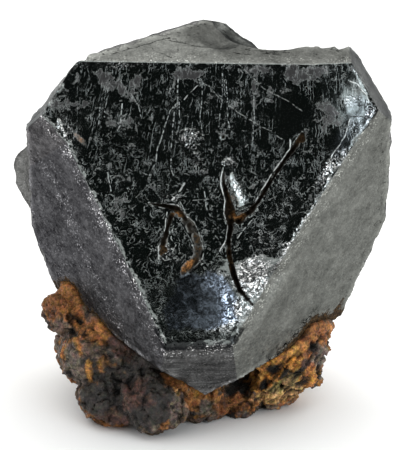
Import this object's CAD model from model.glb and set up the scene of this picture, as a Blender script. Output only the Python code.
"""Ilmenite crystal on rusty matrix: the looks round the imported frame.

The crystal's own frame, in mm, is used for all that lies on the crystal: X to the right, Y up the big
three-sided front face, Z out of that face, and the origin in its middle.
"""

from math import ceil, cos, radians, sin

import bmesh
import bpy
import numpy as np
from mathutils import Matrix, Vector, noise
from mathutils.bvhtree import BVHTree
from mathutils.geometry import delaunay_2d_cdt


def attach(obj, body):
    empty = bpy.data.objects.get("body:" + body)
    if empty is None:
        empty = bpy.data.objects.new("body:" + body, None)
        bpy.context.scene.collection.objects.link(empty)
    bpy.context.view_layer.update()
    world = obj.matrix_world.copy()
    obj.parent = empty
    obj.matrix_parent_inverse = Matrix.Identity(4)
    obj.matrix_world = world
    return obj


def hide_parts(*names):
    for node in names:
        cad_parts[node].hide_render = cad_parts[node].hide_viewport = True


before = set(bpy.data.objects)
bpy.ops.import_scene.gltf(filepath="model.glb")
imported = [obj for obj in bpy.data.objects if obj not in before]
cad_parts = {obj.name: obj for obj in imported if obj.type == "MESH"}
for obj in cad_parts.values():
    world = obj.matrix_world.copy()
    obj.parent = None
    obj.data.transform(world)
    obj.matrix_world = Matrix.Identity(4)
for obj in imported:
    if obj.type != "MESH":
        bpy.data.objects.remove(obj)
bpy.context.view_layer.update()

MM = 0.001

# ================================================================ the crystal's shape
# One stout ilmenite crystal, a heavy black iron titanium oxide with a metallic shine. A big front face
# lies square on the c axis, three long bevel faces fall away from it at the angle that ilmenite grows
# to, and prism faces make the girdle. The top right corner is broken off in shallow shell-like scoops.

FRONT_MIDDLE = Vector((0.8114, -10.3443, 30.0))     # mm, in the row frame
FACE_LEAN = 16.0                                    # degrees that the front face leans back
CRYSTAL_DEPTH = 19.0
RHOMB_DIP = 57.6
BLANK = 90.0
# azimuth round the c axis in degrees, distance in mm and dip in degrees of each crystal face
CRYSTAL_FACES = {
    "front": (0, 0, 0), "rhomb_top": (89.2, 12, RHOMB_DIP), "rhomb_left": (206.2, 12, RHOMB_DIP),
    "rhomb_right": (328.2, 11.5, RHOMB_DIP), "corner_left": (147, 18.5, 80), "corner_right": (29, 19.2, 76),
    "corner_bottom": (273.5, 17.8, 45), "shoulder_left": (131, 18.4, 103), "peak_top": (84, 16.7, 92),
    "prism_top_left": (107, 16.1, 90), "prism_left": (180, 20, 91), "flank_left": (203, 21.5, 92),
    "prism_low_left": (238, 21, 90), "prism_low_right": (297, 21.8, 90), "flank_right": (337, 20.7, 91),
    "prism_right": (0, 20, 90), "shoulder_right": (30, 20.6, 90),
    "back_rhomb_right": (28, 26, 180 - RHOMB_DIP), "back_rhomb_left": (148, 26, 180 - RHOMB_DIP),
    "back_rhomb_bottom": (268, 29, 180 - RHOMB_DIP), "back_parting_right": (40, 55, 160),
    "back_parting_left": (125, 56, 161), "front_low_facet": (281, 9.6, 3.2),
    "front_right_facet": (20, 14.4, 5),
}
CORNER_LEDGE_FACE = (222.0, 8.9, RHOMB_DIP)
BREAK_FLOOR = (89.0, 14.8, 104.0)
BREAK_FLANK = (52.4, 13.97, 90.0)
SIDE_GROWTH_FACES = {
    "front": (195, 7, 45), "left": (181, 21.6, 90), "upper_left": (160, 20.7, 90), "top": (132, 15.8, 92),
    "lower_left": (210, 20, 92), "bottom": (262, 7.2, 90), "right": (0, -17, 90), "back": (180, 34.5, 130),
}

crystal_to_row = (
    Matrix.Translation(FRONT_MIDDLE * MM)
    @ Matrix.Rotation(radians(90.0 - FACE_LEAN), 4, "X")
    @ Matrix.Scale(MM, 4)
)


def face_plane(azimuth, distance, dip):
    a, d = radians(azimuth), radians(dip)
    outward = Vector((cos(a), sin(a), 0.0))
    return outward * distance, outward * sin(d) + Vector((0.0, 0.0, cos(d)))


def linked(name, data):
    """A new object with this data, in the scene."""
    made = bpy.data.objects.new(name, data)
    bpy.context.scene.collection.objects.link(made)
    return made


def evaluated_mesh(made):
    """The object's mesh with its modifiers applied."""
    return bpy.data.meshes.new_from_object(made.evaluated_get(bpy.context.evaluated_depsgraph_get()))


def cleaved_block(name, planes):
    """A hidden block bounded by planes, in the crystal's frame."""
    bm = bmesh.new()
    bmesh.ops.create_cube(bm, size=BLANK)
    for point, normal in planes:
        everything = bm.verts[:] + bm.edges[:] + bm.faces[:]
        cut = bmesh.ops.bisect_plane(
            bm, geom=everything, plane_co=point, plane_no=normal, dist=1e-5, clear_outer=True
        )
        rim = [item for item in cut["geom_cut"] if isinstance(item, bmesh.types.BMEdge)]
        if rim:
            bmesh.ops.contextual_create(bm, geom=rim)
    bmesh.ops.recalc_face_normals(bm, faces=bm.faces)
    mesh = bpy.data.meshes.new(name)
    bm.to_mesh(mesh)
    bm.free()
    return linked(name, mesh)


def turned_round(plane):
    return plane[0], -plane[1]


def all_planes(faces):
    back_plane = (Vector((0.0, 0.0, -CRYSTAL_DEPTH)), Vector((0.0, 0.0, -1.0)))
    return [face_plane(*face) for face in faces.values()] + [back_plane]


LEDGE_INSET = 0.03                                  # mm, so that no two faces of the union coincide
ledge_planes = all_planes({**CRYSTAL_FACES, "rhomb_left": CORNER_LEDGE_FACE})
break_planes = [turned_round(face_plane(*BREAK_FLOOR)), turned_round(face_plane(*BREAK_FLANK))]
block = cleaved_block("block", all_planes(CRYSTAL_FACES))
ledge = cleaved_block("ledge", [(point - normal * LEDGE_INSET, normal) for point, normal in ledge_planes])
broken_off = cleaved_block("broken_off", break_planes)
side_growth = cleaved_block("side_growth", all_planes(SIDE_GROWTH_FACES))
for tool, operation in ((ledge, "UNION"), (broken_off, "DIFFERENCE"), (side_growth, "UNION")):
    boolean = block.modifiers.new(operation, "BOOLEAN")
    boolean.operation, boolean.solver, boolean.object = operation, "EXACT", tool
faceted = evaluated_mesh(block)
for tool in (block, ledge, broken_off, side_growth):
    bpy.data.objects.remove(tool)

FRONT_STEP, BEVEL_STEP, REAR_STEP = 0.125, 0.24, 0.45        # mesh spacing in mm
REAR_KINDS = ("prism", "flank", "shoulder", "back", "growth", "break")


def kind_of(poly):
    """The name of the crystal face that a polygon of the faceted block belongs to."""
    best, kind = 0.02, "back"
    for name, face in {**CRYSTAL_FACES, "ledge": CORNER_LEDGE_FACE}.items():
        point, normal = face_plane(*face)
        miss = (poly.normal - normal).length + abs((poly.center - point).dot(normal)) * 0.2
        if miss < best:
            best, kind = miss, name
    for name, face in (("break_floor", BREAK_FLOOR), ("break_flank", BREAK_FLANK)):
        point, normal = face_plane(*face)
        if (poly.normal - normal).length + abs((poly.center - point).dot(normal)) < best:
            kind = name
    return kind


def step_for(kind):
    if kind.startswith("front"):
        return FRONT_STEP
    return REAR_STEP if kind.startswith(REAR_KINDS) else BEVEL_STEP


def gridded(mesh, kinds):
    """The mesh with each flat face filled with an even grid of small triangles, its edges kept crisp."""
    corners = [v.co.copy() for v in mesh.vertices]
    edge_step = {}
    for poly, kind in zip(mesh.polygons, kinds):
        for key in poly.edge_keys:
            edge_step[key] = min(step_for(kind), edge_step.get(key, 1.0))
    edge_points = {}
    for (a, b), step in edge_step.items():
        count = max(1, ceil((corners[b] - corners[a]).length / step))
        edge_points[(a, b)] = [corners[a].lerp(corners[b], i / count) for i in range(count + 1)]

    verts, faces, face_kinds = [], [], []
    for number, poly in enumerate(mesh.polygons):
        start = len(verts)
        normal, origin = poly.normal.copy(), poly.center.copy()
        across = normal.orthogonal().normalized()
        along = normal.cross(across)

        def laid_flat(points):
            return np.array([[(p - origin).dot(across), (p - origin).dot(along)] for p in points])

        loop, ring = list(poly.vertices), []
        for a, b in zip(loop, loop[1:] + loop[:1]):
            points = edge_points[(min(a, b), max(a, b))]
            ring += points[:-1] if a < b else points[:0:-1]
        flat, outline = laid_flat(ring), laid_flat([corners[i] for i in loop])
        step = step_for(kinds[number])
        low, high = flat.min(0), flat.max(0)
        gx, gy = np.meshgrid(np.arange(low[0], high[0], step), np.arange(low[1], high[1], step * 0.866))
        gx[1::2] += step / 2
        grid = np.stack([gx.ravel(), gy.ravel()], 1)
        inside = np.zeros(len(grid), bool)
        nearest = np.full(len(grid), 1e9)
        for p, q in zip(outline, np.roll(outline, -1, 0)):
            span = (p[1] > grid[:, 1]) != (q[1] > grid[:, 1])
            rise = q[1] - p[1] if abs(q[1] - p[1]) > 1e-12 else 1e-12
            inside ^= span & (grid[:, 0] < (q[0] - p[0]) * (grid[:, 1] - p[1]) / rise + p[0])
            nearest = np.minimum(nearest, distance_to_segment(grid, p, q)[0])
        grid = grid[inside & (nearest > step * 0.55)]
        points = [Vector(p) for p in np.vstack([flat, grid])]
        sides = [(i, (i + 1) % len(flat)) for i in range(len(flat))]
        made = delaunay_2d_cdt(points, sides, [], 1, 1e-7)
        verts += [origin + across * p.x + along * p.y for p in made[0]]
        faces += [tuple(start + i for i in face) for face in made[2]]
        face_kinds += [number] * len(made[2])
    fine = bpy.data.meshes.new("fine")
    fine.from_pydata(verts, [], faces)
    fine.attributes.new("kind", "INT", "FACE").data.foreach_set("value", face_kinds)
    bm = bmesh.new()
    bm.from_mesh(fine)
    bmesh.ops.remove_doubles(bm, verts=bm.verts, dist=1e-4)
    bmesh.ops.recalc_face_normals(bm, faces=bm.faces)
    bm.to_mesh(fine)
    bm.free()
    return fine


def distance_to_segment(points, p, q):
    """Distance from each point to a segment, and how far along the segment the nearest place is, 0 to 1."""
    d = q - p
    t = np.clip(((points - p) @ d) / max(d @ d, 1e-12), 0.0, 1.0)
    return np.linalg.norm(points - p - t[:, None] * d, axis=1), t


def rows_of(items, label):
    """A row of three values for each vertex."""
    values = np.zeros(len(items) * 3)
    items.foreach_get(label, values)
    return values.reshape(-1, 3)


face_kind = [kind_of(poly) for poly in faceted.polygons]
crystal_mesh = gridded(faceted, face_kind)
co, lie = rows_of(crystal_mesh.vertices, "co"), rows_of(crystal_mesh.vertex_normals, "vector")
u, v, w = co.T
flat = co[:, :2]


def grain(points, size, seed, octaves=1):
    """Smooth noise at each point, about -1 to 1, with grains of a size in mm."""
    offset = Vector((seed * 17.3, seed * -9.1, seed * 5.7))
    if octaves == 1:
        return np.array([noise.noise(Vector(p) / size + offset) for p in points])
    return np.array([noise.fractal(Vector(p) / size + offset, 1.0, 2.0, octaves) for p in points])


def smooth(value, low, high):
    """0 up to low and 1 from high on, with a soft step between."""
    t = np.clip((value - low) / (high - low), 0.0, 1.0)
    return t * t * (3.0 - 2.0 * t)


# which vertices lie on which sort of face
poly_kind = np.zeros(len(crystal_mesh.polygons), int)
crystal_mesh.attributes["kind"].data.foreach_get("value", poly_kind)
loops = np.zeros(len(crystal_mesh.polygons) * 3, int)
crystal_mesh.polygons.foreach_get("vertices", loops)
loops = loops.reshape(-1, 3)


def on(*starts):
    """True for each vertex that touches a face whose kind starts with one of these words."""
    chosen = np.array([kind.startswith(starts) for kind in face_kind])[poly_kind]
    mask = np.zeros(len(co), bool)
    mask[loops[chosen].ravel()] = True
    return mask


front, rear, broken_faces = on("front"), on(*REAR_KINDS), on("break")
top_face = on("rhomb_top")

# how far each vertex is from the crystal's nearest crisp edge, the front's border and the worn rim, in mm
FAR, LEAST_CREASE = 9.0, 9.0                        # mm, degrees
edge_gap = border_gap = rim_gap = np.full(len(co), FAR)
sharp_sides = {}
for poly, kind in zip(faceted.polygons, face_kind):
    for key in poly.edge_keys:
        sharp_sides.setdefault(key, []).append((poly.normal.copy(), kind))
for (a, b), sides in sharp_sides.items():
    if len(sides) != 2 or sides[0][0].angle(sides[1][0]) < radians(LEAST_CREASE):
        continue
    gap = distance_to_segment(co, np.array(faceted.vertices[a].co), np.array(faceted.vertices[b].co))[0]
    edge_gap = np.minimum(edge_gap, gap)
    if any(kind.startswith("front") for _, kind in sides):
        border_gap = np.minimum(border_gap, gap)
    if sides[0][1].startswith(REAR_KINDS) != sides[1][1].startswith(REAR_KINDS):
        rim_gap = np.minimum(rim_gap, gap)

# fissures of the front face: X, Y, half width and depth along each, in mm
FISSURES = {
    "trunk": [
        (1.55, 0.6, 0.06, 0.1), (1.7, -0.9, 0.2, 0.45), (2.08, -2.3, 0.3, 0.6), (2.42, -4.35, 0.58, 0.8),
        (2.42, -5.65, 0.3, 0.7), (2.22, -6.9, 0.22, 0.7), (2.25, -8.1, 0.32, 0.7), (2.47, -9.6, 0.26, 0.7),
        (2.8, -10.9, 0.26, 0.7), (3.43, -12.3, 0.24, 0.6), (4.2, -13.4, 0.17, 0.4), (4.8, -14, 0.08, 0.2),
    ],
    "right": [
        (10.2, 4.4, 0.12, 0.2), (9.6, 3.5, 0.36, 0.45), (8.9, 2.5, 0.22, 0.5), (8, 1.3, 0.17, 0.5),
        (7.2, 0, 0.15, 0.5), (6.2, -1.5, 0.16, 0.5), (5.4, -2.8, 0.19, 0.5), (4.5, -3.9, 0.34, 0.6),
        (3.3, -4.8, 0.5, 0.7),
    ],
    "left": [
        (-6.4, -3, 0.05, 0.1), (-5.2, -3.2, 0.16, 0.4), (-4.2, -3.35, 0.24, 0.55), (-3.3, -3.6, 0.42, 0.6),
        (-2.75, -4.3, 0.5, 0.45), (-2.1, -5.2, 0.5, 0.16), (-1.25, -6.8, 0.5, 0.1),
        (-0.98, -8.1, 0.55, 0.1), (-1.15, -9.1, 0.55, 0.14), (-2.15, -9.9, 0.46, 0.22),
        (-2.75, -10.5, 0.22, 0.16),
    ],
    "far_left": [
        (-3.9, -4.3, 0.3, 0.4), (-4.35, -5.6, 0.22, 0.34), (-4.6, -6.8, 0.26, 0.36), (-4.9, -7.7, 0.5, 0.3),
        (-5.1, -8.6, 0.15, 0.1),
    ],
}
fissure_gap, fissure_depth = np.full(len(co), FAR), np.zeros(len(co))
ragged = 0.24 * grain(co, 1.1, 3) + 0.22 * grain(co, 0.42, 4)
for points in FISSURES.values():
    points = np.array(points)
    for p, q in zip(points, points[1:]):
        gap, t = distance_to_segment(flat, p[:2], q[:2])
        half = p[2] + (q[2] - p[2]) * t
        gap = gap - half * (1.0 + ragged * 1.7)
        depth = (p[3] + (q[3] - p[3]) * t) * smooth(-gap, -0.04, np.minimum(half, 0.45))
        fissure_depth = np.maximum(fissure_depth, depth)
        fissure_gap = np.minimum(fissure_gap, gap)
fissure_depth *= np.clip(1.0 + 1.1 * grain(co, 0.6, 20), 0.35, 1.4)

# round pits and rough patches of the front face: X, Y, radius and depth in mm
PITS = {
    "patch": (-1.8, 4.1, 1.35, 0.03), "patch_low": (-1.3, 1.9, 0.8, 0.03), "pit_top": (1.65, 4.1, 0.4, 0.3),
    "pit_mid": (2.1, 1.2, 0.75, 0.04), "pit_right": (14.6, 2.3, 0.6, 0.06),
    "pit_right_low": (13.5, 0.6, 0.5, 0.06), "pit_rust": (-13.8, 3.9, 0.4, 0.06),
    "head": (9.95, 4, 0.62, 0.35), "foot": (-4.75, -8, 0.5, 0.35),
}
pit_depth = np.zeros(len(co))
for x, y, radius, depth in PITS.values():
    gap = np.hypot(u - x, v - y) / (1.0 + ragged * 2.2) - radius
    pit_depth = np.maximum(pit_depth, depth * smooth(-gap, 0.0, 0.4))

# the front sinks into them, has a broken lip along each fissure and is a little wavy
LIP_HEIGHT, LIP_PLACE, LIP_WIDTH = 0.045, 0.07, 0.08        # mm
lip = LIP_HEIGHT * np.exp(-((fissure_gap - LIP_PLACE) / LIP_WIDTH) ** 2)
height = lip * np.clip(3.2 * grain(co, 0.5, 14) - 0.2, 0.0, 1.3) - fissure_depth - pit_depth
height += 0.012 * grain(co, 5.0, 5) + 0.004 * grain(co, 1.6, 6)
# a bright ragged wedge between the two fissures slopes down to where they meet
WEDGE_X, WEDGE_Y, WEDGE_HALF_WIDTH, WEDGE_HALF_LENGTH = 3.25, -1.6, 0.58, 2.1       # mm
WEDGE_FOOT_X, WEDGE_SLOPE = 2.35, 0.42
ACROSS_X, ACROSS_Y = 0.909, 0.416                   # the direction across the wedge
off_x, off_y = u - WEDGE_X, v - WEDGE_Y
wedge_off, wedge_along = off_x * ACROSS_X + off_y * ACROSS_Y, off_x * ACROSS_Y - off_y * ACROSS_X
wedge_half = WEDGE_HALF_WIDTH + 0.17 * wedge_along + 0.8 * ragged + 0.14 * grain(co, 0.3, 18)
wedge = smooth(wedge_half - np.abs(wedge_off), 0.0, 0.14)
wedge *= smooth(WEDGE_HALF_LENGTH - np.abs(wedge_along), 0.0, 0.4)
height -= wedge * (WEDGE_SLOPE * np.clip(u - WEDGE_FOOT_X, 0.0, 2.0) + 0.035 * grain(co, 0.35, 19))
# the lower end rolls off to the right and down, and the top right corner curls away
inner = np.where(front, smooth(border_gap, 0.0, 2.5), 0.0)
ROLL_FROM_X, ROLL_CURVE = -0.6, 0.026
low_start = -v + (0.9 * grain(co, 2.0, 15) + 0.35 * grain(co, 0.7, 16)) * inner
roll = ROLL_CURVE * np.clip(u - ROLL_FROM_X, 0.0, 7.5) ** 2 * smooth(low_start, 9.0, 11.0)
CURL_X, CURL_Y, CURL_RADIUS, CURL_DEPTH = 18.0, 7.5, 6.5, 0.52      # mm
corner = smooth(CURL_RADIUS - np.hypot(u - CURL_X, v - CURL_Y), 0.0, CURL_RADIUS)
height -= roll + CURL_DEPTH * corner ** 2 + 0.075 * corner * grain(co, 1.5, 17, 2)

# the bevel faces that meet the rolled end follow it down
FOLLOW_BAND, FOLLOW_LOW, FOLLOW_HIGH, FOLLOW_BACK = 3.5, -19.0, -16.5, -6.0         # mm
followed = roll * smooth(FOLLOW_BAND - border_gap, 0.0, FOLLOW_BAND)
followed *= smooth(v, FOLLOW_LOW, FOLLOW_HIGH) * (w > FOLLOW_BACK)
co_new = co.copy()
co_new[:, 2] += np.where(front, height, -followed)

# edges are worn, the rim is chipped and the border nicked, the girdle is uneven, the back has parting steps
# and the break has shell-like ripples
WORN_BAND, CHIPPED_BAND, NICKED_BAND = 0.34, 1.1, 0.5       # mm
wear = smooth(WORN_BAND - edge_gap, 0.0, WORN_BAND) * (0.35 + np.abs(grain(co, 0.7, 7)) * 1.3)
wear *= 0.11 * np.where(front & (border_gap < 0.3), 0.8, 1.0)
chipped = np.maximum(grain(co, 1.5, 31, 2), -0.1) * 0.52 + np.maximum(grain(co, 0.6, 32), 0.0) * 0.2
chipped *= smooth(CHIPPED_BAND - rim_gap, 0.0, CHIPPED_BAND)
nicked = np.maximum(grain(co, 0.9, 43, 2) - 0.08, 0.0) * 0.32 * smooth(11.4 - v, 0.0, 0.5)
nicked *= smooth(NICKED_BAND - border_gap, 0.0, NICKED_BAND)
uneven = (0.16 * grain(co, 3.2, 8, 3) - 0.05) * smooth(edge_gap, 0.0, 0.6) + 0.14 * grain(co, 1.4, 9) - 0.08
parting = np.round(2.2 * grain(co, 7.5, 41, 2)) + 0.35 * np.round(3.0 * grain(co, 3.0, 42))
parting = 0.22 * np.clip(parting, -2.0, 1.0) * smooth(edge_gap, 0.0, 1.0)
ripple = 0.1 * np.sin(np.hypot(u - 7.0, (v - 22.0) * 0.9) * 5.2 + 1.5 * grain(co, 2.0, 10))
ripple += 0.12 * grain(co, 0.8, 11)
lift = -wear - chipped - nicked
for where, amount in ((rear, uneven), (on("back"), parting), (broken_faces, ripple)):
    lift += np.where(where, amount, 0.0)
co_new += lie * lift[:, None]

# bites out of the worn rim and the broken back: centre and ball radius in mm
BITES = {
    "peak": (1.6, 21.8, -0.1, 8.65), "saddle": (7.2, 21.9, -5, 9), "right_high": (22.3, 6.6, -6.5, 2.6),
    "right": (23.3, -3.6, -12.5, 3.8), "right_low": (20.6, -10.6, -13, 3), "left": (-22.6, -8, -14.5, 3.6),
    "notch": (-5.7, -18, 0.05, 0.5), "notch_low": (-5.3, -18.8, -0.5, 0.5),
    "back_right": (17.5, 8, -17.5, 4.4), "back_top": (-4, 17.5, -19.5, 4.2),
    "back_middle": (5.5, 0.5, -24.5, 7),
}
for x, y, z, radius in BITES.values():
    arm = co_new - np.array((x, y, z))
    reach = np.linalg.norm(arm, axis=1)
    rough = radius * (1.0 + 0.012 * np.sin(reach * 4.0)) + 0.05 * ragged
    inside = reach < rough
    co_new[inside] += arm[inside] * ((rough - reach) / reach)[inside][:, None]

# fine light lines of the front face: half width in mm, brightness, then runs of X, Y in mm
LINES = {
    "long": (
        0.047, 0.88,
        [
            (-3.2, 10.1), (-3.3, 7.8), (-4.1, 6.9), (-4.7, 4.9), (-5.4, 3), (-5.6, 1.4), (-6.3, 0),
            (-6.6, -1.2),
        ],
    ),
    "second": (0.047, 0.8, [(-3.5, 7.6), (-3.8, 4.9), (-3.9, 3.5), (-4, 0.8), (-3.7, 0)]),
    "third": (0.038, 0.72, [(-3.1, 7.8), (-3, 5.4), (-3.3, 4.6)]),
    "fourth": (0.038, 0.64, [(-0.6, 10.2), (-0.75, 7.5), (-0.86, 6.2), (-0.6, 4.3)]),
    "fifth": (0.038, 0.64, [(1.5, 11.4), (1.55, 8.7), (1.3, 6.7), (1.2, 5.4)]),
    "sixth": (0.043, 0.72, [(1.9, 10.1), (2.1, 7.8), (2.1, 6.5), (2.3, 5.1)]),
    "slanting": (0.038, 0.72, [(0.2, 9.3), (2.2, 7.5), (4.6, 5.9), (6.9, 4.6), (7.8, 4)]),
    "hanging": (0.047, 0.72, [(4.9, 8.3), (4.9, 5.9), (4.8, 3.8), (4.1, 3.2)]),
    "high_slant": (0.034, 0.64, [(3.4, 11.8), (6, 9.3), (8.3, 8.1), (10.1, 6.9)]),
    "cross_one": (0.043, 1.12, [(-0.9, 9.9), (-2.4, 8.3)]),
    "cross_two": (0.038, 0.72, [(-0.9, 10.2), (0.6, 9.2)]),
    "fan_one": (0.038, 0.64, [(-11, 9.8), (-11.5, 7.5), (-11.7, 5.9), (-12, 4.3)]),
    "fan_two": (0.038, 0.64, [(-10.6, 9.7), (-10.8, 8.6), (-11.1, 6.4)]),
    "fan_three": (0.043, 0.96, [(-9.2, 7.5), (-9.4, 5.4), (-9.9, 4.4)]),
    "fan_four": (0.038, 0.72, [(-8, 8.4), (-7.4, 7.5), (-7.2, 6.2)]),
    "low_left": (0.038, 0.8, [(-10.7, 0.2), (-10.4, -1.8)]),
    "mid_one": (0.043, 0.8, [(-0.5, -1.4), (-0.2, -3.3), (0.2, -4.3)]),
    "mid_two": (0.038, 0.72, [(0.75, -1.6), (0.2, -2.5), (-1.4, -2.65)]),
    "short": (0.064, 1.76, [(-2.6, -1), (-3.3, -2)]),
    "left_long": (0.038, 0.64, [(-5.8, 0.8), (-6.6, -1.15), (-7.6, -2.2)]),
    "corner_step": (0.047, 1.28, [(15.2, 5.9), (14.6, 4.1), (13.3, 2.1), (12.9, 0.7)]),
    "corner_wave": (0.051, 1.4, [(15.2, 10.1), (15.9, 9.8), (16.3, 9.3), (17, 8.7), (17.2, 8.1)]),
    "corner_crack": (0.043, -1, [(14.9, 6.4), (15.6, 6.3), (16.2, 6.35), (17.3, 6.1)]),
    "corner_cut": (0.043, -1, [(16.9, 7.9), (16.8, 7.2), (17, 6.7)]),
    "corner_nick": (0.034, -0.8, [(15.3, 8.6), (15.9, 8.2), (16.3, 8.3)]),
    "trunk_lip": (
        0.05, 2.2,
        [(1.55, 0.6), (1.4, -1), (1.8, -2.7), (1.7, -4.2), (2.15, -5.4), (1.95, -6.9), (1.3, -8)],
    ),
    "right_lip": (0.046, 2.2, [(8.8, 3.7), (8.75, 2.8), (7.1, 0.6), (5.7, -1.6), (5, -3)]),
    "junction_lip": (0.043, 1.2, [(4.6, -4.9), (3.9, -5.7), (3.3, -6.6)]),
    "slit_lip": (0.037, 1.5, [(-6.2, -2.9), (-4.9, -3.2), (-3.3, -3.1), (-2.9, -3.9), (-2.2, -4.5)]),
    "arc_lip": (
        0.031, 0.8,
        [
            (-2.98, -2.94), (-2.4, -4.1), (-1.45, -5.1), (-0.75, -6.8), (-0.45, -8.1), (-0.6, -9.1),
            (-1.5, -9.9),
        ],
    ),
    "arc_inner_lip": (0.028, 0.5, [(-2.95, -5.2), (-1.9, -6.8), (-1.5, -8.1), (-1.7, -9.1), (-2.5, -9.7)]),
    "branch_lip": (0.034, 1.7, [(-4.42, -4.2), (-4.6, -5.6), (-4.85, -6.9), (-5.4, -7.7), (-5.3, -9.3)]),
    "branch_inner_lip": (0.031, 0.9, [(-3.7, -5.5), (-4, -6.8), (-3.4, -7.5), (-3.9, -8.3)]),
    "foot_lip": (0.037, 0.9, [(-5.2, -8.6), (-4.6, -9.1), (-3.6, -8.9)]),
    "end_lip": (0.037, 1, [(-2.4, -10.2), (-1.5, -9.5), (-0.6, -9)]),
}
line_side, line_near, line_power = np.full(len(co), FAR), np.full(len(co), FAR), np.zeros(len(co))
wander = np.stack([0.09 * grain(co, 1.0, 12), 0.09 * grain(co, 1.0, 13)], 1)


def mark_line(place, points, half_width, power, where):
    """Notes for each vertex how near this line is, on which side of it it lies and how bright it is."""
    points = np.array(points)
    for p, q in zip(points, points[1:]):
        gap = distance_to_segment(place, p, q)[0]
        along = (q - p) / np.linalg.norm(q - p)
        closer = where & (gap < line_near)
        line_side[closer] = ((place - p) @ np.array((-along[1], along[0])))[closer] / half_width
        line_near[closer], line_power[closer] = gap[closer], power


for half_width, power, points in LINES.values():
    mark_line(flat + wander, points, half_width, power, True)

# dark healed cracks of the top face: X and distance up the face from its lower edge
TOP_CRACKS = {
    "long": [(-10.1, 1.9), (-8.8, 2.6), (-6.4, 3.9), (-4.9, 4.6), (-4.2, 5)],
    "peak_foot": [(-4.1, 4.4), (-2.6, 3.9), (-1.6, 3.5), (-0.5, 3.2), (1, 3), (2.1, 3.5)],
    "curl": [(-6, 3.1), (-5.8, 2.5), (-5.1, 2), (-4.5, 1.65), (-4, 1.2)], "hook": [(-3.3, 3), (-3.2, 2.5)],
    "short": [(-11.5, 2.1), (-11.2, 1.8)], "groove": [(2.7, 2.1), (3.5, 1.85), (4.5, 1.65)],
    "shell": [(5.1, 2.5), (6.6, 2.3), (8.6, 2.1)], "low_shell": [(5.8, 1.9), (7.7, 1.65)],
}
up_face = (v - CRYSTAL_FACES["rhomb_top"][1]) / cos(radians(RHOMB_DIP))
on_top = np.stack([u, up_face], 1) + wander * 1.5
CRACK_HALF_WIDTH = 0.07
for points in TOP_CRACKS.values():
    mark_line(on_top, points, CRACK_HALF_WIDTH, -1.0, top_face & ~front)


def off_middle(dx, dy, wide, tall, turned):
    """Distance from the middle of a turned ellipse, which is 1 at its rim."""
    c, k = cos(radians(turned)), sin(radians(turned))
    return np.hypot((dx * c + dy * k) / wide, (dy * c - dx * k) / tall)


def spots(places, where=front):
    """Soft-edged patches: X, Y, radius across, radius up, turn in degrees and strength of each."""
    field = np.zeros(len(co))
    for x, y, wide, tall, turned, strength in places.values():
        away = off_middle(u - x, v - y, wide, tall, turned)
        field = np.maximum(field, strength * smooth(1.6 - away, 0.0, 1.1))
    return np.where(where, field, 0.0)


# darker and lighter areas of the top face
TOP_SHADES = {
    "peak": (0.6, 15.2, 2.9, 1.1, 0.0, 1.0), "right": (9.2, 13.0, 6.5, 1.3, 0.0, 0.7),
    "middle": (2.9, 13.6, 2.2, 1.3, 0.0, 0.9),
}

# matte etched islands, bright grained patches and mirror-smooth, bluish and rusty places of the front face
ISLANDS = {
    "high_left": (-10.6, 10, 1.3, 0.8, -35, 1), "high_left_arm": (-8.9, 8.9, 1.2, 0.45, -45, 1),
    "beige": (-7.8, 9.9, 0.55, 1.2, -15, 1.1), "left_one": (-11.5, 0.9, 1.2, 0.6, 10, 1),
    "left_two": (-9.2, -0.3, 1, 0.5, -10, 0.9), "top_middle": (-2, 10.9, 1.6, 0.5, 5, 0.9),
    "band": (5, 9, 0.4, 2.4, -4, 1), "band_top": (6, 11.2, 1.7, 0.6, 0, 0.9),
    "stain": (12, 10.9, 3.4, 1.1, 0, 0.9), "grey_zone": (12.4, 7, 1.3, 1.8, 0, 0.9),
    "green_patch": (8.4, 9, 0.8, 0.7, 0, 0.7), "low_right": (9.5, -2.4, 1.6, 1.8, 30, 0.6),
    "left_border": (-14.5, 6.5, 1.6, 2.2, 30, 0.7), "left_low": (-9.6, -3.6, 1.2, 1.4, 30, 0.5),
}
GRAINED = {
    "patch": (-1.8, 3.9, 1.2, 1.3, 0, 0.8), "patch_low": (-1.3, 1.7, 0.6, 0.8, 0, 0.6),
    "pit_mid": (2.2, 1.3, 0.9, 0.8, 0, 0.6), "above_slit": (-3.9, -2.4, 1.3, 0.5, 0, 0.7),
    "left_corner": (-15.3, 4.6, 1.2, 2, 30, 0.5), "right_low": (4.9, -10.9, 1.8, 2.2, -20, 1.2),
    "low": (2.6, -15, 1.05, 1.7, -28, 1.1), "low_shine": (0.9, -11.3, 1.2, 1.1, -20, 0.5),
    "low_shine_end": (2, -13.3, 0.8, 1.5, 25, 0.7), "corner_high": (15.6, 7.9, 1.1, 0.6, -10, 0.42),
    "corner_low": (16, 5.3, 0.9, 0.9, 0, 0.3), "low_left": (1.6, -16.5, 1.6, 0.35, 5, 0.7),
    "pit_right": (14.3, 2, 0.7, 1.1, -35, 0.75), "wedge": (3.25, -1.6, 0.38, 1.4, 25, 0.8),
    "right_edge": (12.8, 0.6, 0.6, 2.4, -32, 0.9), "top_left": (-10, 11.8, 3.5, 0.35, 0, 0.6),
    "right_curls": (7.6, -4.2, 1.6, 2.6, -35, 0.3), "right_middle": (6.3, -7, 1.7, 1.9, 0, 0.5),
    "corner_rim": (17.6, 6.4, 0.7, 1.5, 0, 0.9), "slit_end": (-3, -8.9, 1.6, 0.9, 0, 0.45),
    "foot": (-4.4, -8.3, 1.2, 0.8, 0, 0.65),
}
SMOOTH_PLACES = {"mirror": (9.2, 7.0, 1.6, 1.7, 0.0, 1.0), "corner": (16.2, 6.6, 1.3, 1.6, 0.0, 1.0)}
BLUISH_PLACES = {"corner": (16.2, 6.4, 1.5, 1.9, 0, 0.28), "corner_low": (14.4, 3.6, 0.9, 1.6, -30, 0.4)}
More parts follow.
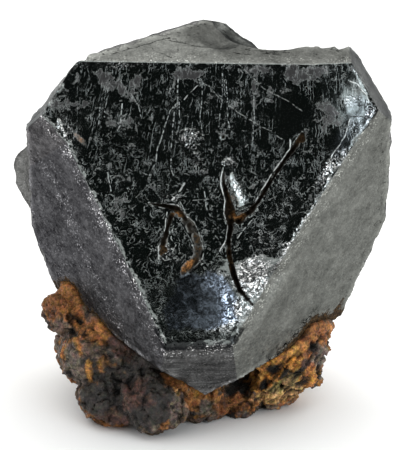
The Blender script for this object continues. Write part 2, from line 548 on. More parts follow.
# corners of the smooth bluish facet at the lower end, clockwise: X, Y
LOW_FACET = [
    (-3.2, -10.3), (1.7, -10.3), (3.3, -13.0), (3.0, -15.8), (1.5, -16.6), (-4.4, -17.1), (-5.1, -14.6),
]
low_facet = np.full(len(co), FAR)
for p, q in zip(np.array(LOW_FACET), np.roll(LOW_FACET, -1, 0)):
    along = (q - p) / np.linalg.norm(q - p)
    low_facet = np.minimum(low_facet, (flat - p) @ np.array((along[1], -along[0])))
low_facet = np.where(front, smooth(low_facet + 0.5 * grain(co, 1.2, 44, 3), -0.15, 0.45), 0.0)
RUST_PLACES = {
    "junction": (3.2, -4.3, 0.9, 0.6, 0, 1), "trunk": (2.3, -2.4, 0.4, 1.8, 0, 0.55),
    "slope": (2.85, -2.5, 0.4, 1.4, 25, 0.95), "trunk_low": (2.35, -9.3, 0.4, 1.4, 0, 0.6),
    "slit": (-3.3, -4.2, 0.8, 0.4, -10, 0.9), "arc": (-1.2, -7.4, 0.8, 1.8, 0, 0.75),
    "arc_end": (-2.3, -9.8, 0.45, 1, -40, 1.5), "head": (9.9, 3.9, 0.7, 0.7, 0, 0.65),
    "patch_low": (-1, 1.6, 0.9, 0.6, 0, 0.45), "far_left": (-13.7, 3.9, 1.2, 0.35, -45, 1.1),
    "foot": (-4.3, -8.2, 1.1, 0.7, 0, 0.75),
}


def give_values(mesh, label, values):
    mesh.attributes.new(label, "FLOAT", "POINT").data.foreach_set("value", values.astype(np.float32))


def finished_mesh(name, mesh, points, values, sharp_angle):
    """Gives a mesh its final points in metres, its named values and its crisp edges."""
    mesh.name = name
    mesh.vertices.foreach_set("co", points.astype(np.float32).ravel())
    for label, value in values.items():
        give_values(mesh, label, value)
    mesh.update()
    mesh.polygons.foreach_set("use_smooth", np.ones(len(mesh.polygons), bool))
    bm = bmesh.new()
    bm.from_mesh(mesh)
    limit = radians(sharp_angle)
    for edge in bm.edges:
        edge.smooth = len(edge.link_faces) == 2 and edge.calc_face_angle(0.0) < limit
    bm.to_mesh(mesh)
    bm.free()
    return linked(name, mesh)


# reflectance and roughness of each sort of face, as it grew or broke
FACE_TONES = {
    "front": (0.16, 0.165, 0.165, 0.09), "rhomb_left": (0.074, 0.0735, 0.077, 0.38),
    "ledge": (0.082, 0.08, 0.082, 0.4), "rhomb_right": (0.168, 0.172, 0.16, 0.4),
    "rhomb_top": (0.155, 0.158, 0.149, 0.38), "corner_left": (0.3, 0.31, 0.305, 0.34),
    "corner_right": (0.2, 0.205, 0.2, 0.36), "corner_bottom": (0.078, 0.078, 0.078, 0.4),
    "peak": (0.084, 0.086, 0.082, 0.35), "break": (0.122, 0.126, 0.12, 0.38),
    "": (0.125, 0.125, 0.122, 0.42),
}
tones = [next(tone for word, tone in FACE_TONES.items() if kind.startswith(word)) for kind in face_kind]
toned = crystal_mesh.color_attributes.new("tone", "FLOAT_COLOR", "CORNER")
toned.data.foreach_set("color", np.repeat(np.array(tones)[poly_kind], 3, axis=0).astype(np.float32).ravel())

turn = np.array(crystal_to_row.to_3x3()) / MM
row_points = co_new @ turn.T + np.array(crystal_to_row.translation) / MM
lined = front | top_face
crystal = finished_mesh("ilmenite_crystal_grown", crystal_mesh, row_points * MM, {
    "front": front,
    "border_gap": border_gap,
    "fissure_gap": np.where(front, fissure_gap, FAR),
    "depth": np.where(front, fissure_depth + pit_depth, 0.0),
    "line_side": np.where(lined, line_side, FAR),
    "line_near": np.where(lined, line_near, FAR),
    "line_power": line_power,
    "shade": spots(TOP_SHADES, ~front & (w > -12.0)),
    "island": spots(ISLANDS),
    "grained": spots(GRAINED),
    "smooth": spots(SMOOTH_PLACES),
    "bluish": np.maximum(spots(BLUISH_PLACES), low_facet),
    "rust": spots(RUST_PLACES),
    "rim_gap": rim_gap,
}, 24.0)


# ================================================================ the crystal's surface
# Ilmenite reflects about a fifth of the light that falls on it. The front face is polished black by
# nature, with etched matte islands, fine scratches and rust in its fissures. The bevel faces are satin.

# Each of these helpers adds nodes to `tree`, the node tree that is being built at the time.


def fill(target, inputs):
    """Gives a node's inputs their values or other nodes' sockets."""
    for name, value in inputs.items():
        if isinstance(value, bpy.types.NodeSocket):
            tree.links.new(value, target.inputs[name])
        else:
            target.inputs[name].default_value = value


def node(kind, inputs=None, **settings):
    made = tree.nodes.new(kind)
    for name, value in settings.items():
        setattr(made, name, value)
    fill(made, inputs or {})
    return made


def calc(operation, a, b=0.0, clamp=False):
    return node("ShaderNodeMath", {0: a, 1: b}, operation=operation, use_clamp=clamp).outputs[0]


def times(first, *others, clamp=False):
    for other in others:
        first = calc("MULTIPLY", first, other, clamp)
    return first


def plus(first, *others):
    for other in others:
        first = calc("ADD", first, other)
    return first


def minus(a, b, clamp=False):
    return calc("SUBTRACT", a, b, clamp)


def larger(first, *others):
    for other in others:
        first = calc("MAXIMUM", first, other)
    return first


def swing(noise_level, by):
    """A noise from 0 to 1, turned to swing round zero."""
    return times(minus(noise_level, 0.5), by)


def off_half(noise_level):
    """How far a noise is from its middle: thin winding lines run where it is near zero."""
    return calc("ABSOLUTE", minus(noise_level, 0.5))


def without(mask, share):
    return minus(1.0, times(mask, share))


def step_up(value, low, high, to_low=0.0, to_high=1.0):
    """value from low to high, turned smoothly into to_low to to_high."""
    ends = {"Value": value, "From Min": low, "From Max": high, "To Min": to_low, "To Max": to_high}
    return node("ShaderNodeMapRange", ends, interpolation_type="SMOOTHSTEP").outputs["Result"]


def blend_colour(factor, a, b, mode="MIX"):
    a, b = [(*colour, 1.0) if isinstance(colour, tuple) else colour for colour in (a, b)]
    return node("ShaderNodeMix", {0: factor, 6: a, 7: b}, data_type="RGBA", blend_type=mode).outputs[2]


def blend_value(factor, a, b):
    return node("ShaderNodeMix", {0: factor, 2: a, 3: b}, data_type="FLOAT").outputs[0]


def vector(operation, *inputs):
    return node("ShaderNodeVectorMath", dict(enumerate(inputs)), operation=operation).outputs[0]


def stretched(place, scale):
    return vector("MULTIPLY", place, scale)


def part_of(colour, letter):
    return node("ShaderNodeSeparateXYZ", {0: colour}).outputs[letter]


def named(label):
    return node("ShaderNodeAttribute", attribute_name=label).outputs["Fac"]


def noise_of(place, scale, detail=2.0, roughness=0.5, output="Fac"):
    inputs = {"Vector": place, "Scale": scale, "Detail": detail, "Roughness": roughness}
    return node("ShaderNodeTexNoise", inputs).outputs[output]


def cells_of(place, scale, **settings):
    return node("ShaderNodeTexVoronoi", {"Vector": place, "Scale": scale}, **settings).outputs


def new_material(name):
    """A new material, its node tree and its surface shader."""
    made = bpy.data.materials.new(name)
    made.use_nodes = True
    return made, made.node_tree, made.node_tree.nodes["Principled BSDF"]


ilmenite, tree, surface = new_material("ilmenite_faces")
spot = node("ShaderNodeMapping", {
    "Vector": node("ShaderNodeTexCoord").outputs["Object"], "Location": crystal_to_row.translation,
    "Rotation": (radians(90.0 - FACE_LEAN), 0.0, 0.0), "Scale": (MM, MM, MM),
}, vector_type="TEXTURE").outputs["Vector"]             # the crystal's own frame, in mm
split = node("ShaderNodeSeparateXYZ", {0: spot}).outputs
across, up = split["X"], split["Y"]
warp = noise_of(spot, 0.9, 3, output="Color")
warped = vector("MULTIPLY_ADD", warp, (1.5, 1.5, 1.5), spot)
warped_more = vector("MULTIPLY_ADD", noise_of(spot, 3.5, output="Color"), (0.5, 0.5, 0.5), warped)
fine, finest = noise_of(spot, 1.5, 4, 0.7), noise_of(spot, 4.5, 1)
is_front, smooth_place, bluish = named("front"), named("smooth"), named("bluish")
border_gap_mm, rim_gap_mm, rock_gap_mm = named("border_gap"), named("rim_gap"), named("rock_gap")

# grained places and the frosted rim of the front
rim = plus(border_gap_mm, step_up(across, 2, -3, 0, 0.42), times(noise_of(spot, 0.8, 4, 0.75), -3.2))
rim = times(
    step_up(rim, -0.95, -1.45), step_up(up, 11.7, 10.9, 0.1, 1), step_up(up, -15, -16.8, 1, 0.55),
    step_up(noise_of(spot, 0.38), 0.38, 0.58, 0.35, 1), step_up(across, 14.5, 16.5, 1, 0.25),
    step_up(across, -6, -10, 1, 0.5),
)
grained = times(larger(named("grained"), times(rim, 0.85)), is_front, step_up(finest, 0.28, 0.5))

# etched matte islands with ragged edges
island_place = named("island")
island = plus(noise_of(warped_more, 0.55, 9, 0.74), times(island_place, 0.115))
island = minus(island, times(larger(smooth_place, times(grained, 0.7, clamp=True)), 0.2))
island = minus(island, plus(times(bluish, 0.12), step_up(up, 5, -1, 0, 0.035)))
island = step_up(island, 0.59, 0.615)

# light strokes, near upright high up and curled lower down
shear = times(up, plus(times(across, 0.012), -0.1))
bent = vector("ADD", spot, node("ShaderNodeCombineXYZ", {0: shear}).outputs[0])
bent = vector("MULTIPLY_ADD", warp, (0.7, 0, 0), bent)
scratches = off_half(noise_of(stretched(bent, (1.5, 0.16, 1)), 1, 1.5))
strokes = larger(
    step_up(noise_of(stretched(bent, (5, 0.55, 1)), 1, 2, 0.65), 0.6, 0.66),
    step_up(noise_of(stretched(bent, (2.6, 0.3, 1)), 1, 3, 0.7), 0.64, 0.67),
    times(step_up(scratches, 0.012, 0.004), step_up(noise_of(spot, 0.5), 0.4, 0.52)),
)
strokes = times(strokes, step_up(up, -6, 2, 0.15, 1))
curl = step_up(off_half(noise_of(stretched(warped, (1.5, 0.9, 1)), 1, 1)), 0.016, 0.005)
curl = times(curl, step_up(noise_of(spot, 0.9), 0.42, 0.58))
hair = step_up(off_half(noise_of(stretched(warped_more, (2.4, 1.6, 1)), 1, 1)), 0.02, 0.006)
hair = times(
    hair, step_up(noise_of(spot, 0.45, 3), 0.46, 0.6), without(bluish, 0.7), step_up(up, 8, -2, 0.35, 1)
)
whisker = step_up(off_half(noise_of(stretched(warped_more, (1.9, 1.5, 1)), 1.3, 0)), 0.026, 0.008)
whisker = times(
    whisker, step_up(noise_of(spot, 1.1, 3), 0.5, 0.6), step_up(up, 6, -1, 0, 0.62),
    without(bluish, 0.9), step_up(up, -9, -12, 1, 0.5),
)
stroke = times(larger(strokes, curl, hair), step_up(noise_of(spot, 0.7, 4, 0.7), 0.36, 0.6), 0.42)
stroke = times(stroke, minus(1, larger(smooth_place, times(bluish, 0.75))))

# the named lines, and the cracks, which are lines of a negative brightness
side = plus(calc("ABSOLUTE", named("line_side")), swing(finest, 1.6))
line = times(
    step_up(side, 1.5, 0.6), step_up(named("line_near"), 0.26, 0.16),
    step_up(noise_of(spot, 1.9), 0.36, 0.56, 0.22, 1), step_up(finest, 0.35, 0.65, 0.65, 1.25),
    named("line_power"),
)
light = larger(line, stroke, whisker)
crack = times(line, -1, clamp=True)

# grains: small flat facets, each turned its own way
HALF = (0.5, 0.5, 0.5)
cells, small_cells = cells_of(warped_more, 3.8)["Color"], cells_of(spot, 8)["Color"]
lean = times(minus(grained, 0.7, clamp=True), 0.5)
normal = node("ShaderNodeNewGeometry").outputs["Normal"]
normal = vector("MULTIPLY_ADD", vector("SUBTRACT", cells, HALF), times(grained, 0.5), normal)
glitter = blend_value(is_front, 0.2, 0.03)
normal = vector("MULTIPLY_ADD", vector("SUBTRACT", small_cells, HALF), glitter, normal)
normal = vector("ADD", normal, node("ShaderNodeCombineXYZ", {0: lean}).outputs[0])
normal = vector("NORMALIZE", normal)

# the front face, with its bluish facet crazed like ice
POLISHED, ETCHED, SCRATCHED = (0.16, 0.178, 0.172), (0.098, 0.097, 0.098), (0.55, 0.57, 0.56)
CRACKED, RAGGED = (0.01, 0.011, 0.012), (0.012, 0.013, 0.014)
BLUE_DARK, BLUE_LIGHT, BLUE_TINT = (0.06, 0.071, 0.085), (0.15, 0.18, 0.218), (0.78, 0.93, 1.18)
GRAIN_DARK, GRAIN_LIGHT = (0.02, 0.02, 0.022), (0.7, 0.7, 0.7)
POLISHED_ROUGH, ETCHED_ROUGH, SCRATCHED_ROUGH, GRAIN_ROUGH = 0.11, 0.375, 0.4, 0.16
speckle = times(step_up(fine, 0.42, 0.7), step_up(finest, 0.3, 0.62), step_up(up, 6, -2, 0.85, 0.25))
speckle = times(speckle, minus(0.24, times(larger(smooth_place, bluish), 0.24)))
matte = larger(island, speckle, times(island_place, step_up(fine, 0.3, 0.7, 0.06, 0.34)))
front_rough = blend_value(matte, POLISHED_ROUGH, ETCHED_ROUGH)
front_rough = blend_value(times(light, 1, clamp=True), front_rough, SCRATCHED_ROUGH)
front_rough = blend_value(times(grained, 1, clamp=True), front_rough, GRAIN_ROUGH)
clouds = plus(noise_of(warped, 0.7, 3, 0.6), step_up(across, -3, 2, -0.12, 0.16))
clouds = step_up(clouds, 0.34, 0.64)
front_rough = blend_value(times(bluish, 0.8), front_rough, blend_value(clouds, 0.2, 0.36))
crazing = cells_of(warped_more, 2.1, feature="DISTANCE_TO_EDGE")["Distance"]
crazing = plus(crazing, swing(finest, 0.25))
cell_shade = part_of(cells, "Y")
blue = times(step_up(crazing, 0, 0.12, 0.45, 1), step_up(cell_shade, 0.1, 0.9, 0.6, 1.4))
blue = stretched(blend_colour(clouds, BLUE_DARK, BLUE_LIGHT), blue)
gleam = blend_colour(step_up(crazing, 0.02, 0.17), GRAIN_DARK, GRAIN_LIGHT)
gleam = stretched(gleam, step_up(cell_shade, 0.15, 0.85, 0.1, 1.5))
gleam = blend_colour(bluish, gleam, BLUE_TINT, "MULTIPLY")
front_colour = blend_colour(matte, POLISHED, ETCHED)
front_colour = blend_colour(times(bluish, 0.95), front_colour, blue)
front_colour = blend_colour(times(grained, 0.9, clamp=True), front_colour, gleam)
front_colour = blend_colour(times(light, 0.8, clamp=True), front_colour, SCRATCHED)
front_colour = blend_colour(crack, front_colour, CRACKED)

# the satin faces sparkle near the border and along a trail on the left, and are worn lighter at the rim
satin = noise_of(spot, 1, 5, 0.75)
trail = calc("ABSOLUTE", minus(border_gap_mm, step_up(up, 2, -12, 6.2, 7.6)))
trail = times(step_up(trail, 2.8, 0.2, 0, 1.1), step_up(across, -7, -9), step_up(up, 3, 1.5))
spark = times(
    calc("POWER", part_of(small_cells, "X"), 9), larger(step_up(border_gap_mm, 3, 0.3, 0.35, 2.6), trail),
    blend_value(step_up(noise_of(spot, 0.7), 0.35, 0.65), 0.3, 1.5), step_up(up, 12, 11, 0.4, 1),
)
level = plus(times(finest, 0.65), times(satin, 1.15), times(noise_of(warped, 0.42, 3, 0.55), 0.75))
level = plus(spark, minus(level, 0.275))
worn = step_up(plus(rim_gap_mm, times(satin, 2)), 2.2, 1.2, 1, 1.45)
striae = step_up(noise_of(stretched(spot, (0.2, 2.4, 2.4)), 1, 2, 0.6), 0.36, 0.62, 0.88, 1.12)
level = times(level, worn, blend_value(step_up(up, -15.8, -17.8), 1, striae))
tone_node = node("ShaderNodeAttribute", attribute_name="tone").outputs
level = calc("POWER", level, step_up(tone_node["Fac"], 0.08, 0.16, 2.3, 1.3))
pits = times(step_up(noise_of(spot, 1.9, 1), 0.66, 0.7), step_up(rim_gap_mm, 4, 1))
specks = times(step_up(finest, 0.66, 0.72), step_up(noise_of(spot, 0.6), 0.45, 0.6, 0, 0.8))
crackle = step_up(plus(rock_gap_mm, swing(satin, 4)), 2.1, 1)
crackle = times(crackle, step_up(across, 3, 5), step_up(split["Z"], -12.5, -10))
level = times(
    level, blend_value(larger(pits, specks), 1, 0.4), blend_value(named("shade"), 1, 0.52),
    blend_value(crack, 1, 0.25), blend_value(crackle, 1, step_up(crazing, 0.05, 0.22, 0.1, 1.5)),
)
colour = blend_colour(is_front, stretched(tone_node["Color"], level), front_colour)
ragged_end = times(
    step_up(up, -16.2, -16.7), step_up(border_gap_mm, 1, 0.6),
    step_up(noise_of(spot, 0.9, 4, 0.7), 0.44, 0.5), 0.9,
)
colour = blend_colour(ragged_end, colour, RAGGED)

# dirt and rust in the fissures, and rust that creeps up from the rock
GRIME, DEEP = (0.03, 0.025, 0.02), (0.008, 0.006, 0.004)
BROWN_DARK, BROWN = (0.016, 0.011, 0.007), (0.08, 0.048, 0.022)
RUST_DARK, RUST_LIGHT = (0.1, 0.042, 0.015), (0.33, 0.15, 0.05)
grime = step_up(plus(named("fissure_gap"), times(fine, 0.4)), 0.4, 0.08)
grime = times(grime, minus(0.85, times(line, 0.8), clamp=True))
deep = step_up(plus(named("depth"), swing(finest, 0.14)), 0.04, 0.17)
rust_place = named("rust")
rust = times(plus(rust_place, swing(fine, 1.7)), blend_value(deep, 0.45, 1))
creep = minus(plus(rock_gap_mm, swing(fine, -3)), step_up(across, 5, 8, 0, 0.5))
rust = larger(step_up(rust, 0.3, 0.75), step_up(creep, 0.6, 0.1))
orange = times(step_up(rust_place, 0.75, 1.15), step_up(fine, 0.36, 0.56))
rust_colour = blend_colour(step_up(finest, 0.35, 0.7), BROWN_DARK, BROWN)
bright_rust = blend_colour(step_up(finest, 0.36, 0.62), RUST_DARK, RUST_LIGHT)
rust_colour = blend_colour(orange, rust_colour, bright_rust)
for place, paint in ((grime, GRIME), (deep, DEEP), (rust, rust_colour)):
    colour = blend_colour(place, colour, paint)
rough = blend_value(is_front, tone_node["Alpha"], front_rough)
bare = minus(1, larger(rust, deep))

relief = plus(times(finest, 0.006), times(island, -0.01), times(light, 0.012), times(crack, -0.03))
bump = node("ShaderNodeBump", {"Height": relief, "Normal": normal, "Distance": 0.001})
fill(surface, {
    "Base Color": colour, "Roughness": blend_value(larger(rust, deep), rough, 0.75), "Metallic": bare,
    "Normal": bump.outputs["Normal"], "Specular IOR Level": 0.1, "Specular Tint": (0.3, 0.3, 0.31, 1.0),
})
crystal.data.materials.append(ilmenite)

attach(crystal, "root")
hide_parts("ilmenite_crystal")


# ================================================================ the matrix
# Weathered iron-rich rock that the crystal grew on: dark grey to purple brown, crusted with orange and
# ochre rust, broken off flat enough underneath for the specimen to stand.

ROCK_VOXEL = 0.185 * MM
packed_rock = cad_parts["rusty_matrix"]
rock_source = linked("rock_source", packed_rock.data.copy())
rock_source.matrix_world = packed_rock.matrix_world
bm = bmesh.new()
bm.from_mesh(rock_source.data)
bmesh.ops.remove_doubles(bm, verts=bm.verts, dist=1e-6)
bm.to_mesh(rock_source.data)
bm.free()
remesh = rock_source.modifiers.new("remesh", "REMESH")
remesh.mode, remesh.voxel_size = "VOXEL", ROCK_VOXEL
bpy.context.view_layer.update()
rock_mesh = evaluated_mesh(rock_source)
rock_mesh.transform(rock_source.matrix_world)
rock_mesh.materials.clear()
bpy.data.objects.remove(rock_source)

# ellipsoids that are bitten out of the rock: middle and half widths in mm
ROCK_BITES = {
    "hollow": (4.5, -8.6, 4.7, 2.5, 6.2, 2.9), "crease": (-1.9, -9.5, 1, 0.5, 2.4, 3.2),
    "mid_crease": (2.3, -9.2, 0.8, 0.45, 1.6, 2.6),
}
rock = rows_of(rock_mesh.vertices, "co") / MM
for place in ROCK_BITES.values():
    middle, half_widths = np.array(place[:3]), np.array(place[3:])
    arm = (rock - middle) / half_widths
    reach = np.linalg.norm(arm, axis=1)[:, None]
    pushed = rock + arm * (1.0 / np.maximum(reach, 0.05) - 1.0) * half_widths
    rock = np.where(reach < 1.0, pushed, rock)
# the ridge at the left steps down to a blunt tip
TIP_X, TIP_UP = -15.2, 11.3
SEEN_UP = np.array((0.0, 0.342, 0.94))              # upwards, as seen from the front and a little above
inward, over = TIP_X - rock[:, 0], rock @ SEEN_UP - TIP_UP
rock[:, 2] -= np.where((inward > 0.0) & (over > 0.0) & (over < inward), over / SEEN_UP[2], 0.0)
rock[:, 0] += np.where((inward > 0.0) & (over >= inward), inward, 0.0)
rock_mesh.vertices.foreach_set("co", (rock * MM).astype(np.float32).ravel())
rock_mesh.update()
rock_lie = rows_of(rock_mesh.vertex_normals, "vector")


def gap_to(made, points, reach, farther):
    """Distance in mm from each point to an object, or `farther` where it lies beyond the reach."""
    searched = BVHTree.FromObject(made, bpy.context.evaluated_depsgraph_get())
    gaps = [searched.find_nearest(Vector(p) * MM, reach * MM)[3] or farther * MM for p in points]
    return np.array(gaps) / MM


contact = gap_to(crystal, rock, 2.0, 2.0)


def broken(size, seed, warp, warp_size, warp_seed):
    """Small flat break faces, each tilted its own way: height, gap to the next crack and a number."""
    points = rock + warp * np.stack([grain(rock, warp_size, warp_seed + i) for i in range(3)], 1)
    offset, half = Vector((seed * 3.1, seed * 7.7, seed * 1.9)), Vector((0.5, 0.5, 0.5))
    made = np.zeros((len(points), 3))
    for i, p in enumerate(points):
        q = Vector(p) / size + offset
        far, centres = noise.voronoi(q)
        own = noise.cell_vector(centres[0] * 9.7)
        made[i] = (q - centres[0]).dot(own - half) * 2.0, far[1] - far[0], own.x
    return made.T


# relief: broad lumps, broken crumbs and a fine crust, held back where the crystal sits
coarse, coarse_crack, coarse_number = broken(2.0, 1, 0.5, 1.5, 33)
small, small_crack, small_number = broken(0.85, 2, 0.2, 0.6, 36)
crust = grain(rock, 0.45, 23, 3)
rock_x, rock_y, rock_z = rock.T
seen_up = rock @ SEEN_UP
fibre = grain(np.stack([(rock_x + rock_z) * 0.25, (rock_x - rock_z) * 1.1, rock_y * 0.8], 1), 1.0, 39, 2)
fibre = 1.0 - 2.5 * np.abs(fibre)
relief = 0.26 * grain(rock, 2.6, 21, 2) + 0.14 * grain(rock, 1.1, 22, 2)
relief += 0.4 * coarse + 0.22 * small + 0.05 * crust
relief -= 0.14 * smooth(0.12 - coarse_crack, 0.0, 0.12) + 0.04 * smooth(0.14 - small_crack, 0.0, 0.14)
right_block = smooth(rock_x, 5.0, 7.0)
relief += (0.26 * (fibre - 0.4) + 0.34 * coarse) * right_block
sunk = smooth(contact, 0.3, 1.0)
seated = np.maximum(relief, 0.0) * sunk + 0.42 * (1.0 - sunk)
relief = np.where(contact < 1.0, seated, relief)
rock_new = rock + rock_lie * relief[:, None]
rock_new[:, 2] = np.maximum(rock_new[:, 2], 0.0)

# colour and roughness of each sort of crust
ROCK_COLOURS = {
    "purple": (0.112, 0.072, 0.049, 0.75), "orange": (0.25, 0.103, 0.029, 0.85),
    "rust": (0.18, 0.07, 0.022, 0.85), "ochre": (0.33, 0.155, 0.04, 0.85),
    "amber": (0.35, 0.145, 0.028, 0.85), "pale": (0.34, 0.2, 0.08, 0.85), "olive": (0.2, 0.14, 0.055, 0.7),
    "dark": (0.025, 0.02, 0.016, 0.42), "black": (0.01, 0.008, 0.006, 0.8),
    "red": (0.062, 0.03, 0.021, 0.55), "grey": (0.125, 0.094, 0.072, 0.7),
}
# colour zones, as seen from the front: X, height, half widths in mm, turn in degrees, colour
ROCK_ZONES = [
    (-14.6, 11, 1.3, 3.2, 15, "orange"), (-16.2, 10.3, 1.3, 1.5, 0, "rust"),
    (-15.2, 7.8, 1, 1.2, 0, "purple"), (-11.5, 7.5, 1.9, 1, -35, "orange"),
    (-12.3, 2.7, 0.3, 1.8, 0, "ochre"), (-10.7, 3.9, 0.7, 0.8, 0, "ochre"),
    (-8.4, 5.6, 1.9, 0.9, -30, "red"), (-13.9, 4, 0.8, 2.4, 15, "grey"), (-6.6, 1.3, 4.2, 3.4, 0, "dark"),
    (-11.2, 0.2, 2.3, 1.8, 0, "dark"), (-6.9, 0.2, 1.5, 2.2, 20, "red"), (-9.5, -2, 2.6, 0.5, -8, "red"),
    (-5.8, -1.6, 2, 1, 0, "dark"), (-2.3, -0.6, 1, 1.9, 0, "grey"), (-2.6, 2, 1.5, 0.8, -30, "orange"),
    (0.4, 1.1, 1.9, 1.5, 0, "orange"), (-0.3, 0.9, 0.9, 0.5, 20, "amber"), (0.2, -0.9, 1.5, 0.8, 0, "grey"),
    (-2.5, 0.9, 0.35, 0.35, 0, "pale"), (-0.9, -0.2, 0.7, 1.3, 15, "orange"),
    (3.8, -0.6, 2.2, 0.9, 10, "rust"), (4.6, 2, 1.9, 1.7, 0, "black"), (9.2, 3.6, 3.7, 3.6, 0, "amber"),
    (6.5, 2.9, 0.9, 1.7, -10, "ochre"), (9, 0.6, 2.8, 0.8, 12, "pale"), (9.4, 2, 1.9, 0.8, 35, "olive"),
    (8, 3.3, 0.8, 0.5, 30, "black"), (12.4, 6, 2.3, 2.6, 0, "rust"), (9.9, 3.3, 1.6, 0.35, 40, "ochre"),
    (11.2, 3.4, 1, 0.3, 40, "black"), (9.3, 2.9, 0.7, 0.3, 45, "black"), (11.6, 4, 0.5, 0.4, 0, "red"),
    (6.9, 1.5, 0.3, 0.7, -15, "black"), (6.4, 3.3, 0.5, 1.3, -12, "ochre"),
    (13.3, 4.9, 0.8, 1.2, 0, "grey"), (10.3, 5.2, 1.8, 0.4, 30, "ochre"),
]
BASE_COLOUR = "purple"
# patches of other colours all over the rock: their size in mm, seed, threshold and colour
ROCK_PATCHES = [(3.2, 27, 0.10, "orange"), (2.4, 28, 0.16, "dark"), (1.6, 29, 0.22, "grey")]
patchy, patchy_fine = grain(rock, 2.0, 25, 3), grain(rock, 0.7, 26, 2)
layers = []
for size, seed, threshold, word in ROCK_PATCHES:
    patch = grain(rock, size, seed, 3) + 0.3 * patchy_fine
    layers.append((word, smooth(patch, threshold, threshold + 0.12)))
for x, up, wide, tall, turned, word in ROCK_ZONES:
    away = off_middle(rock_x - x, seen_up - up, wide, tall, turned)
    away += 0.35 * patchy + 0.35 * patchy_fine
    layers.append((word, smooth(1.25 - away, 0.0, 0.35)))
rock_colour = np.tile(np.array(ROCK_COLOURS[BASE_COLOUR]), (len(rock), 1))
for word, spread in layers:
    spread = spread[:, None]
    rock_colour = rock_colour * (1 - spread) + np.array(ROCK_COLOURS[word]) * spread
shading = 0.7 + 0.35 * small_number + 0.25 * coarse_number
shading *= (1.0 - 0.3 * smooth(0.16 - small_crack, 0.0, 0.16)) * (1.0 + 0.6 * crust)
shading *= 1.0 + right_block * (np.clip(0.82 + fibre, 0.45, 1.6) - 1.0)
rock_colour[:, :3] *= shading[:, None]
tint = rock_mesh.color_attributes.new("rock_colour", "FLOAT_COLOR", "POINT")
tint.data.foreach_set("color", rock_colour.astype(np.float32).ravel())
crusted = smooth(contact, 0.35, 0.7) * smooth(rock_new[:, 2], 0.35, 0.7)
crusted *= smooth(grain(rock, 2.2, 30, 2), -0.25, 0.35)
rock_piece = finished_mesh(
    "rusty_matrix_rough", rock_mesh, rock_new * MM, {"relief": relief, "crusted": crusted}, 60.0
)

# rust creeps from the rock on to the crystal, further at the back
BACK_FROM, BACK_SHARE = -14.0, 0.4
rock_gap = gap_to(rock_piece, row_points, 3.0, FAR) * np.where(w < BACK_FROM, BACK_SHARE, 1.0)
give_values(crystal.data, "rock_gap", rock_gap)

rusty, tree, surface = new_material("rusty_rock")
spot = stretched(node("ShaderNodeTexCoord").outputs["Object"], (1000, 1000, 1000))     # mm
painted = node("ShaderNodeAttribute", attribute_name="rock_colour").outputs
hue = vector("MULTIPLY_ADD", noise_of(spot, 1.6, 4, 0.7, "Color"), (1.3, 1.1, 1.4), (0.35, 0.45, 0.3))
dust = step_up(noise_of(spot, 4, 4, 0.7), 0.35, 0.68)
colour = stretched(stretched(painted["Color"], hue), blend_value(dust, 0.48, 1.5))
colour = stretched(colour, step_up(named("relief"), -0.45, 0.12, 0.12, 1.22))
glint = step_up(noise_of(spot, 3.2, 3, 0.6), 0.42, 0.6, 1.35, 0.45)
bump = node("ShaderNodeBump", {"Height": times(noise_of(spot, 2.8, 4, 0.7), 0.18), "Distance": 0.001})
fill(surface, {
    "Base Color": colour, "Roughness": times(painted["Alpha"], glint, clamp=True),
    "Specular IOR Level": 0.35, "Normal": bump.outputs["Normal"],
})
rock_piece.data.materials.append(rusty)
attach(rock_piece, "root")
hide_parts("rusty_matrix")


# ================================================================ the crumbs on the matrix
# Grains of rust and ore a quarter of a millimetre across, caked on to the weathered matrix. Each takes
# its colour from the rock that it sits on.

tree = bpy.data.node_groups.new("caked_crumbs", "GeometryNodeTree")
CRUMB_INPUTS = {
    "Rock": ("NodeSocketGeometry", None), "Crumbs per square mm": ("NodeSocketFloat", 1.5),
    "Smallest in mm": ("NodeSocketFloat", 0.12), "Largest in mm": ("NodeSocketFloat", 0.38),
    "Seed": ("NodeSocketInt", 5), "Finish": ("NodeSocketMaterial", rusty),
}
crumb_ids = {}
for label, (kind, value) in CRUMB_INPUTS.items():
    crumb_ids[label] = tree.interface.new_socket(label, in_out="INPUT", socket_type=kind).identifier
tree.interface.new_socket("Crumbs", in_out="OUTPUT", socket_type="NodeSocketGeometry")
given = node("NodeGroupInput").outputs
caked = node("GeometryNodeInputNamedAttribute", {"Name": "crusted"}, data_type="FLOAT")
thick = times(given["Crumbs per square mm"], 1.0 / MM ** 2, caked.outputs[0])
strewn = node(
    "GeometryNodeDistributePointsOnFaces", {"Mesh": given["Rock"], "Density": thick, "Seed": given["Seed"]}
)
FULL_TURN, SHORTEST, LONGEST = (6.28, 6.28, 6.28), (0.6, 0.6, 0.6), (1.3, 1.3, 1.3)
turning = node("FunctionNodeRandomValue", {1: FULL_TURN, "Seed": 6}, data_type="FLOAT_VECTOR")
longer = node("FunctionNodeRandomValue", {0: SHORTEST, 1: LONGEST, "Seed": 7}, data_type="FLOAT_VECTOR")
chance = node("FunctionNodeRandomValue", {2: 0.0, 3: 1.0, "Seed": 8}, data_type="FLOAT")
chance = calc("POWER", chance.outputs[1], 2.5)
across_mm = blend_value(chance, given["Smallest in mm"], given["Largest in mm"])
grit = node("GeometryNodeMeshIcoSphere", {"Radius": 0.5 * MM, "Subdivisions": 1})
placed = node("GeometryNodeInstanceOnPoints", {
    "Points": strewn.outputs["Points"], "Instance": grit.outputs["Mesh"],
    "Rotation": turning.outputs[0], "Scale": stretched(longer.outputs[0], across_mm),
})
real = node("GeometryNodeRealizeInstances", {0: placed.outputs[0]})
coated = node("GeometryNodeSetMaterial", {"Geometry": real.outputs[0], "Material": given["Finish"]})
node("NodeGroupOutput", {"Crumbs": coated.outputs[0]})

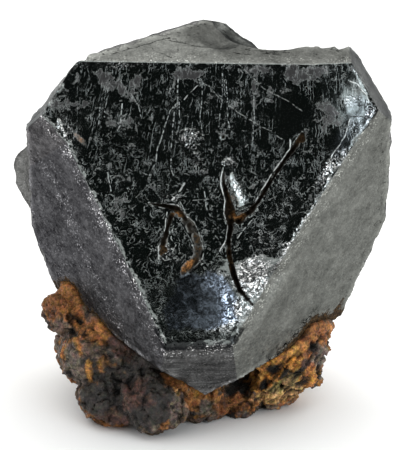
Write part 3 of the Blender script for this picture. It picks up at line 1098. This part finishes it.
carrier = linked("crumb_carrier", rock_piece.data.copy())
strewing = carrier.modifiers.new("caked_crumbs", "NODES")
strewing.node_group = tree
for label, (kind, value) in CRUMB_INPUTS.items():
    if value is not None:
        strewing[crumb_ids[label]] = value
crumb_mesh = evaluated_mesh(carrier)
bpy.data.objects.remove(carrier)
crumb_mesh.name = "caked_crumbs"
crumbs = linked("caked_crumbs", crumb_mesh)
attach(crumbs, "root")


# ================================================================ floor, light and camera
# A plain pale table under big soft lamps, and a camera that looks down at the specimen a little.

FLOOR_HALF = 1.5                                    # m
floor_mesh = bpy.data.meshes.new("floor")
corners = [(x * FLOOR_HALF, y * FLOOR_HALF, 0.0) for x, y in ((-1, -1), (1, -1), (1, 1), (-1, 1))]
floor_mesh.from_pydata(corners, [], [(0, 1, 2, 3)])
floor = linked("floor", floor_mesh)
pale, tree, surface = new_material("pale_table")
fill(surface, {"Base Color": (0.95, 0.95, 0.95, 1.0), "Roughness": 0.9, "Specular IOR Level": 0.1})
floor.data.materials.append(pale)

# soft panels of the studio: azimuth from straight in front of the object (to the right positive) and
# height in degrees of the middle, half width of the full part and of the faded rim, strength and tint
STUDIO_BASE = (0.75, 0.75, 0.75)
STUDIO_PANELS = {
    "ceiling": (170, 66, 34, 64, 1.95, (1, 1, 0.98)), "dark_room": (0, 22, 18, 38, 0.02, (0.85, 1, 0.95)),
    "right_window": (48, 14, 10, 28, 3.6, (0.9, 0.96, 1)), "left_window": (-62, 14, 9, 22, 3, (1, 1, 1)),
}
world = bpy.data.worlds.new("studio")
bpy.context.scene.world = world
world.use_nodes = True
tree = world.node_tree
looking = node("ShaderNodeTexCoord").outputs["Generated"]
light_level = STUDIO_BASE
for azimuth, height_angle, full, faded, strength, tint in STUDIO_PANELS.values():
    a, e = radians(azimuth), radians(height_angle)
    middle = (sin(a) * cos(e), -cos(a) * cos(e), sin(e))
    facing = node("ShaderNodeVectorMath", {0: looking, 1: middle}, operation="DOT_PRODUCT").outputs["Value"]
    inside = step_up(facing, cos(radians(faded)), cos(radians(full)))
    light_level = blend_colour(inside, light_level, tuple(strength * part for part in tint))
fill(tree.nodes["Background"], {"Color": light_level})

CAMERA_ELEVATION, CAMERA_DISTANCE = 20.0, 350.0     # degrees, mm
FRAME_WIDE, FRAME_HIGH, PX_PER_MM = 411, 450, 9.33
FRONT_MIDDLE_PX = (208.0, 175.3)                     # where the middle of the front face shows
tilt = radians(CAMERA_ELEVATION)
view_up = Vector((0.0, sin(tilt), cos(tilt)))
view_back = Vector((0.0, -cos(tilt), sin(tilt)))
target = (
    FRONT_MIDDLE
    - Vector((1.0, 0.0, 0.0)) * (FRONT_MIDDLE_PX[0] - FRAME_WIDE / 2) / PX_PER_MM
    - view_up * (FRAME_HIGH / 2 - FRONT_MIDDLE_PX[1]) / PX_PER_MM
)
camera_data = bpy.data.cameras.new("camera")
camera = linked("camera", camera_data)
camera.location = (target + view_back * CAMERA_DISTANCE) * MM
camera.rotation_euler = (radians(90.0 - CAMERA_ELEVATION), 0.0, 0.0)
camera_data.sensor_width = 36.0
camera_data.lens = PX_PER_MM * CAMERA_DISTANCE * camera_data.sensor_width / FRAME_HIGH
camera_data.clip_start, camera_data.clip_end = 0.01, 20.0
bpy.context.scene.camera = camera
bpy.context.scene.view_settings.view_transform = "Standard"
